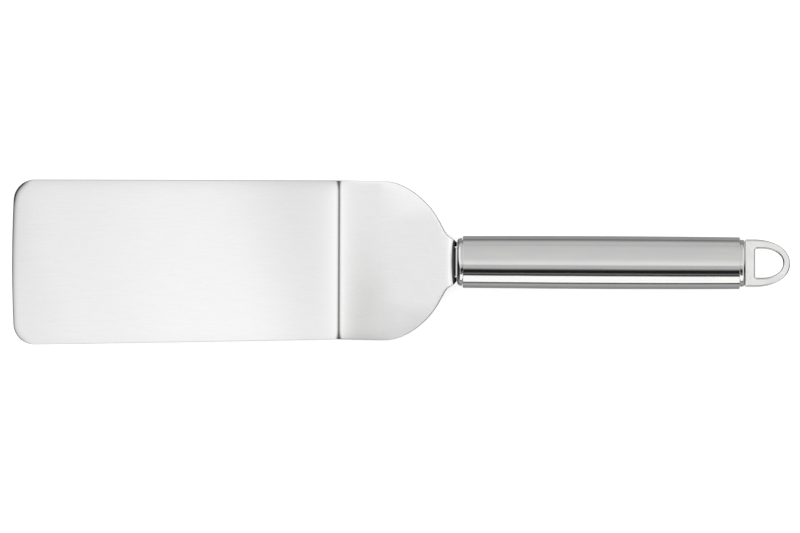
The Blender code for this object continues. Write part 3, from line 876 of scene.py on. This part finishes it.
def inset_vectors(points, keep_u=False):
    """For each point of a closed outline, the step that moves it inwards by 1 beside its edges.

    With keep_u it goes straight across where the outline runs along u, which keeps bend lines straight.
    """
    count = len(points)
    area = sum(points[k - 1].cross(points[k]) for k in range(count))
    side = 1 if area > 0 else -1
    steps = []
    for k in range(count):
        before = (points[k] - points[k - 1]).normalized()
        after = (points[(k + 1) % count] - points[k]).normalized()
        normals = [Vector((-edge.y, edge.x)) * side for edge in (before, after)]
        cosine = normals[0].dot(normals[1])
        miter = (normals[0] + normals[1]) / (1 + cosine)
        across = miter.normalized().y
        past_toe = points[k].x > -BLADE_LENGTH + 2 * TOE_CORNER_RADIUS
        straight = keep_u and past_toe and cosine > SMOOTH_COSINE and abs(across) > SHARE_ACROSS
        steps.append(Vector((0, 1 / across)) if straight else miter)
    return steps


def edge_profile(thickness, radius, steps):
    """Inset and height of the rings round a plate's edge, from its upper face to its lower one."""
    upper = []
    for turn in even_steps(0, math.pi / 2, steps):
        upper.append((radius * (1 - math.sin(turn)), thickness / 2 - radius * (1 - math.cos(turn))))
    return upper + [(inset, -height) for inset, height in reversed(upper)]


def finish_mesh(name, vertices, faces, attributes, uv=None):
    """A closed smooth mesh with outward faces, a number per vertex for each attribute and maybe a UV map."""
    mesh = bpy.data.meshes.new(name)
    mesh.from_pydata(vertices, [], faces)
    builder = bmesh.new()
    builder.from_mesh(mesh)
    bmesh.ops.recalc_face_normals(builder, faces=builder.faces)
    builder.to_mesh(mesh)
    builder.free()
    for label, values in attributes.items():
        mesh.attributes.new(label, "FLOAT", "POINT").data.foreach_set("value", values)
    if uv:
        layer = mesh.uv_layers.new(name="blank")
        for loop in mesh.loops:
            layer.data[loop.index].uv = uv[loop.vertex_index]
    mesh.shade_smooth()
    mesh.set_sharp_from_angle(angle=SHARP_ANGLE)
    return mesh


def new_object(name, data):
    thing = bpy.data.objects.new(name, data)
    bpy.context.scene.collection.objects.link(thing)
    return thing


def add_piece(name, mesh, material, slot, *nodes):
    """Adds a piece that stands for CAD nodes and shades its flats evenly."""
    piece = new_object(name, mesh)
    mesh.materials.append(material)
    even = piece.modifiers.new("even_shading", "WEIGHTED_NORMAL")
    even.keep_sharp = True
    even.weight = FLAT_FACE_WEIGHT
    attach(piece, "root")
    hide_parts(*nodes)


def blade_mesh(sheet, shift):
    """Both faces of the blank and the rings of its edges, bent."""
    blank = BladeBlank(sheet)
    centres = bore_centres(sheet)
    circles = [arc(centre, RIVET_BORE / 2, 0, math.tau, BORE_STEPS)[:-1] for centre in centres]
    bores = [[blank.add(*point) for point in circle] for circle in circles]
    for ring in bores:
        blank.edges += closed_edges(ring)
    points, _, triangles, sources = delaunay_2d_cdt(blank.points, blank.edges, [blank.outline], 1, MERGE)[:4]
    merged = {source: k for k, group in enumerate(sources) for source in group}
    outline = [merged[k] for k in blank.outline]
    bores = [[merged[k] for k in ring] for ring in bores]
    kept = [triangle for triangle in triangles if not in_bore(points, triangle, centres)]
    steps = dict(zip(outline, inset_vectors([points[k] for k in outline], keep_u=True)))
    profile = edge_profile(SHEET, CUT_EDGE_ROUND, EDGE_STEPS)
    flat, rings = [], []
    for inset, height in profile:
        rings.append({k: len(flat) + order for order, k in enumerate(outline)})
        edge = float(inset < CUT_EDGE_ROUND)
        flat += [(points[k] + steps[k] * inset, height, edge) for k in outline]
    faces = []
    inner = [k for k in range(len(points)) if k not in steps]
    for ring, height in ((rings[0], SHEET / 2), (rings[-1], -SHEET / 2)):
        for k in inner:
            ring[k] = len(flat)
            flat.append((points[k], height, 0.0))
        faces += [[ring[k] for k in triangle] for triangle in kept]
    for upper, lower in zip(rings[:-1], rings[1:]):
        faces += band_faces(outline, upper, lower)
    for ring in bores:
        faces += band_faces(ring, rings[0], rings[-1])
    vertices = [sheet.place(*point, height) + Vector((shift, 0, 0)) for point, height, _ in flat]
    brushing = [(point.y, point.x) for point, _, _ in flat]
    return finish_mesh("blade_sheet", vertices, faces, blade_attributes(blank, flat), brushing)


def blade_attributes(blank, flat):
    """What the sheet's finish and its painted light and shade need at each vertex; the lower face is left
    plain.
    """
    rows = []
    for point, height, edge in flat:
        upper = float(height > 0)
        rim = blank.rim_highlight(point)
        highlighted = upper * max(rim, painted_highlight(*point, blank.sheet.crest_start))
        shade = blank.edge_shade(point) * (CUT_EDGE_SHADE if edge else upper)
        rows.append((edge * (1 - rim), upper * fold_shade(*point), highlighted, shade))
    return dict(zip(("cut_edge", "fold_shade", "painted_highlight", "edge_shade"), zip(*rows)))


def in_bore(points, triangle, centres):
    middle = sum((points[k] for k in triangle), Vector((0, 0))) / 3
    return any((middle - centre).length < RIVET_BORE / 2 for centre in centres)


def band_faces(loop, upper, lower):
    """Quads between two closed rings that share their keys."""
    return [[upper[start], upper[end], lower[end], lower[start]] for start, end in closed_edges(loop)]


def make_blade(sheet, material):
    low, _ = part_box("blade")
    toe = sheet.place(-BLADE_LENGTH, 0, -SHEET / 2).x
    mesh = blade_mesh(sheet, low.x + TOE_TRIM - toe)
    add_piece("blade_sheet", mesh, material, "blade_steel", "blade")


def turned_mesh(name, profile, axis, steps=TURN_STEPS):
    """Revolves a closed profile of (x, radius, wear) points about the handle's axis."""
    vertices, rings, wear = [], [], []
    for x, radius, worn in profile:
        if radius <= TINY:
            rings.append([len(vertices)] * steps)
            vertices.append(Vector((x, 0, axis)))
            wear.append(worn)
            continue
        rings.append(list(range(len(vertices), len(vertices) + steps)))
        turns = [math.tau * k / steps for k in range(steps)]
        vertices += [Vector((x, radius * math.sin(turn), axis + radius * math.cos(turn))) for turn in turns]
        wear += [worn] * steps
    faces = []
    for first, second in zip(rings, rings[1:] + rings[:1]):
        for k in range(steps):
            corners = dict.fromkeys([first[k - 1], first[k], second[k], second[k - 1]])
            if len(corners) > 2:
                faces.append(list(corners))
    return finish_mesh(name, vertices, faces, {"wear": wear})


def rounded(corner, before, after, radius, steps=CORNER_STEPS):
    """The worn arc in place of a square corner of a turned profile; before and after are unit directions."""
    before, after, corner = Vector(before), Vector(after), Vector(corner)
    centre = corner - radius * before + radius * after
    turns = even_steps(0, math.pi / 2, steps)
    points = [centre + radius * (before * math.sin(turn) - after * math.cos(turn)) for turn in turns]
    return [(point.x, point.y, math.sin(2 * turn)) for point, turn in zip(points, turns)]


def unworn(points):
    return [(x, radius, 0.0) for x, radius in points]


def cap_profile(face, flange, radius, rim, skirt_end, skirt_radius, facing):
    """A cap with a flat face, a round rim and a hollow skirt; facing is -1 in front and 1 at the rear."""
    hollow = skirt_radius - CAP_SKIRT_WALL
    wall = face - facing * CAP_END_WALL
    back = face - facing * flange
    front = rounded((face, radius), (0, 1), (-facing, 0), rim)
    skirt = [(back, radius), (back, skirt_radius), (skirt_end, skirt_radius), (skirt_end, hollow)]
    return unworn([(face, 0)]) + front + unworn(skirt + [(wall, hollow), (wall, 0)])


def cut(mesh, cutter, operation="DIFFERENCE"):
    """A new mesh: the first one with the second cut out of it or joined to it."""
    body, tool = new_object("cut_body", mesh), new_object("cut_tool", cutter)
    change = body.modifiers.new("cut", "BOOLEAN")
    change.operation, change.solver, change.object = operation, "EXACT", tool
    done = bpy.data.meshes.new_from_object(body.evaluated_get(bpy.context.evaluated_depsgraph_get()))
    for thing in (body, tool):
        bpy.data.objects.remove(thing)
    done.shade_smooth()
    done.set_sharp_from_angle(angle=SHARP_ANGLE)
    done.name = mesh.name
    return done


def spread_mesh(name, builder, low, high):
    """The mesh of a builder's shape, which is 1 wide about 0, spread between two opposite corners."""
    low, high = Vector(low), Vector(high)
    for vertex in builder.verts:
        vertex.co = (low + high) / 2 + vertex.co * (high - low)
    mesh = bpy.data.meshes.new(name)
    builder.to_mesh(mesh)
    builder.free()
    return mesh


def skirt_radius():
    """The outside of a cap's skirt, which fits the tube's end."""
    return TUBE_END_DIAMETER / 2 - TUBE_WALL - CLEARANCE


def make_front_cap(axis, material):
    low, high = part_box("front_cap")
    profile = cap_profile(low.x, FRONT_FLANGE, high.y, FRONT_RIM_ROUND, high.x, skirt_radius(), -1)
    mesh = turned_mesh("neck_cap", profile, axis)
    width, height = TANG_WIDTH / 2 + CLEARANCE, SHEET / 2 + CLEARANCE
    start, end = low.x - CUTTER_REACH, high.x + CUTTER_REACH
    block = bmesh.new()
    bmesh.ops.create_cube(block, size=1.0)
    slot = spread_mesh("slot", block, (start, -width, axis - height), (end, width, axis + height))
    add_piece("neck_cap", cut(mesh, slot), material, "polished_steel", "front_cap")


def swollen(start, end, full):
    """Points along the tube, which is fullest in the middle and falls to both ends."""
    fall = full - TUBE_END_DIAMETER / 2
    middle, reach = (start + end) / 2, (end - start) / 2
    return [(middle + share * reach, full - fall * share**2) for share in even_steps(-1, 1, SWELL_STEPS)]


def make_tube(axis, material):
    low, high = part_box("handle_tube")
    rim = TUBE_END_DIAMETER / 2
    start = rounded((low.x, rim), (0, 1), (1, 0), TUBE_RIM_ROUND, EDGE_STEPS)
    end = rounded((high.x, rim), (1, 0), (0, -1), TUBE_RIM_ROUND, EDGE_STEPS)
    outside = unworn(swollen(low.x + TUBE_RIM_ROUND, high.x - TUBE_RIM_ROUND, high.y)[1:-1])
    inside = unworn([(x, radius - TUBE_WALL) for x, radius in reversed(swollen(low.x, high.x, high.y))])
    mesh = turned_mesh("grip_tube", start + outside + end + inside, axis)
    add_piece("grip_tube", mesh, material, "polished_steel", "handle_tube")


def make_rear_cap(axis, material):
    low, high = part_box("rear_cap")
    profile = cap_profile(high.x, REAR_FLANGE, high.y, REAR_RIM_ROUND, low.x, skirt_radius(), 1)
    bore = STEM_DIAMETER / 2 + CLEARANCE
    bored = [(x, max(radius, bore), worn) for x, radius, worn in profile]
    mesh = turned_mesh("loop_cap", bored, axis)
    add_piece("loop_cap", mesh, material, "polished_steel", "rear_cap")


def rounded_share(value):
    """A sine or cosine pushed outwards, so that the half ellipse it draws is fuller."""
    return math.copysign(abs(value) ** (2 / LOOP_POWER), value)


def d_outline(base, straight, length, width, corner):
    """A closed D: a straight base with two small corners and a full half ellipse for the rest."""
    half = width / 2
    centre = base + straight
    reach = length - straight
    turns = even_steps(math.pi / 2, -math.pi / 2, 2 * ARC_STEPS)
    shares = [(rounded_share(math.cos(turn)), rounded_share(math.sin(turn))) for turn in turns]
    nose = [Vector((centre + reach * along, half * across)) for along, across in shares]
    lower = arc(Vector((base + corner, corner - half)), corner, -math.pi / 2, -math.pi, LOOP_EDGE_STEPS)
    upper = arc(Vector((base + corner, half - corner)), corner, math.pi, math.pi / 2, LOOP_EDGE_STEPS)
    return nose + lower + upper


def edge_round(reach):
    """The share of the edge round at a distance from the loop's base, where it is sharper."""
    sharp = LOOP_BASE_ROUND / LOOP_EDGE_ROUND
    return sharp + (1 - sharp) * eased(reach, 0.0, LOOP_CORNER_RADIUS)


def make_loop(axis, material):
    """A flat D plate with a D hole and round edges, grown together with a round stem."""
    low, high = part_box("hanging_loop")
    base = high.x - LOOP_LENGTH
    width = 2 * high.y
    outer = d_outline(base, LOOP_STRAIGHT, LOOP_LENGTH, width, LOOP_CORNER_RADIUS)
    hole_length = LOOP_LENGTH - BASE_BAR - NOSE_BAR
    hole = d_outline(base + BASE_BAR, HOLE_STRAIGHT, hole_length, width - 2 * SIDE_BAR, HOLE_CORNER_RADIUS)
    keys = range(len(outer))
    profile = edge_profile(LOOP_THICKNESS, LOOP_EDGE_ROUND, LOOP_EDGE_STEPS)
    vertices, faces, worn, ends = [], [], [], []
    for outline, side in ((outer, 1), (hole, -1)):
        steps = inset_vectors(outline)
        rings = []
        rounds = [edge_round(point.x - base) for point in outline]
        for inset, height in profile:
            rings.append({k: len(vertices) + k for k in keys})
            for point, step, share in zip(outline, steps, rounds):
                moved = point + side * share * inset * step
                fall = share * (LOOP_THICKNESS / 2 - abs(height))
                rise = math.copysign(LOOP_THICKNESS / 2 - fall, height)
                vertices.append(Vector((*moved, axis + rise)))
            worn += [float(inset < LOOP_EDGE_ROUND)] * len(outline)
        for upper, lower in zip(rings[:-1], rings[1:]):
            faces += band_faces(keys, upper, lower)
        ends.append((rings[0], rings[-1]))
    for first, second in zip(*ends):
        faces += band_faces(keys, first, second)
    plate = finish_mesh("ring", vertices, faces, {"cut_edge": worn})
    radius = STEM_DIAMETER / 2
    profile = unworn([(low.x, 0), (low.x, radius), (base + STEM_ROOT, radius), (base + STEM_ROOT, 0)])
    mesh = cut(plate, turned_mesh("stem", profile, axis, STEM_STEPS), "UNION")
    add_piece("ring", mesh, material, "loop_steel", "hanging_loop")


def make_studio():
    """World light: cards overhead and at both ends for the steel to mirror, plain white for the camera."""
    world = bpy.data.worlds.new("studio")
    bpy.context.scene.world = world
    world.use_nodes = True
    tree = world.node_tree
    x, y, z = coordinates(tree, tree.nodes.new("ShaderNodeTexCoord").outputs["Generated"])
    across = calc(tree, "DEGREES", calc(tree, "ARCTAN2", calc(tree, "MULTIPLY", y, -1.0), z))
    along = calc(tree, "DEGREES", calc(tree, "ARCSINE", x))
    steps = CEILING_STEPS + SCRIM_STEPS + FLAG_EDGE_STEPS + STRIP_LIGHT_STEPS
    level = stepped(tree, across, HORIZON_LEVEL, steps)
    level = mix_value(tree, crossing(tree, along, *RIGHT_PANEL), level, RIGHT_PANEL_LEVEL)
    level = mix_value(tree, crossing(tree, along, *LEFT_PANEL), LEFT_PANEL_LEVEL, level)
    far_level = remap(tree, across, *RIGHT_FAR_SIDES, *RIGHT_FAR_LEVEL)
    level = mix_value(tree, crossing(tree, along, *RIGHT_FAR), level, far_level)
    dark_start = remap(tree, across, *LEFT_DARK_SIDES, *LEFT_DARK_START)
    dark_level = remap(tree, across, *LEFT_DARK_LEVEL_SIDES, *LEFT_DARK_LEVEL)
    into_dark = calc(tree, "SUBTRACT", dark_start, along)
    level = mix_value(tree, crossing(tree, into_dark, 0.0, LEFT_DARK_SOFT), level, dark_level)
    seen = tree.nodes.new("ShaderNodeLightPath").outputs["Is Camera Ray"]
    strength = mix_value(tree, seen, level, 1.0)
    set_inputs(tree, tree.nodes["Background"], {"Color": WHITE, "Strength": strength})


def make_floor():
    """The pale sheet that the spatula lies on, which the steel mirrors in bands."""
    grid = bmesh.new()
    bmesh.ops.create_grid(grid, x_segments=FLOOR_CELLS, y_segments=FLOOR_CELLS, size=0.5)
    mesh = spread_mesh("floor", grid, FLOOR_LOW, FLOOR_HIGH)
    floor = new_object("floor", mesh)
    floor.location.z = -FLOOR_DROP
    material, tree, shader, place = new_material("floor_paper", 0.0)
    path = tree.nodes.new("ShaderNodeLightPath").outputs
    _, y, _ = coordinates(tree, place)
    mirrored = stepped(tree, y, FLOOR_RIM_LEVEL, FLOOR_STEPS)
    tone = mix_value(tree, path["Is Glossy Ray"], FLOOR_WHITE, mirrored)
    finish = {
        "Base Color": neutral(tree, tone),
        "Roughness": 1.0,
        "Specular IOR Level": 0.0,
        "Emission Color": WHITE,
        "Emission Strength": calc(tree, "MULTIPLY", path["Is Camera Ray"], FLOOR_GLOW),
    }
    set_inputs(tree, shader, finish)
    mesh.materials.append(material)


def make_camera(axis):
    """Looks down on the spatula as the photograph does."""
    lens = bpy.data.cameras.new("camera")
    camera = new_object("camera", lens)
    bpy.context.scene.camera = camera
    lens.sensor_width = SENSOR_WIDTH_MM
    lens.lens = SENSOR_WIDTH_MM * CAMERA_DISTANCE / (PICTURE_WIDTH_PIXELS * METRES_PER_PIXEL)
    lens.clip_start, lens.clip_end = CAMERA_RANGE
    lean = Matrix.Rotation(CAMERA_LEAN_Y, 3, "Y") @ Matrix.Rotation(CAMERA_LEAN_X, 3, "X")
    turn = (Matrix.Rotation(CAMERA_ROLL, 3, "Z") @ lean).transposed()
    x, y = PICTURE_OFFSET
    place = Vector((0, 0, axis)) + turn @ Vector((-x, -y, CAMERA_DISTANCE))
    camera.matrix_world = Matrix.Translation(place) @ turn.to_4x4()


def main():
    bpy.context.scene.view_settings.view_transform = "Standard"
    axis = sum(corner.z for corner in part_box("handle_tube")) / 2
    sheet = BentSheet(2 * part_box("handle_tube")[1].y)
    front_face, rear_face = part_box("front_cap")[0].x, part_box("rear_cap")[1].x
    polished = polished_steel(front_face, rear_face)
    make_blade(sheet, blade_steel(front_face))
    make_front_cap(axis, polished)
    make_tube(axis, polished)
    make_rear_cap(axis, polished)
    make_loop(axis, loop_steel())
    hidden = plain_steel()
    for name in ("tie_rod", "tang_rivet_1", "tang_rivet_2"):
        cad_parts[name].material_slots[0].material = hidden
    make_studio()
    make_floor()
    make_camera(axis)


main()
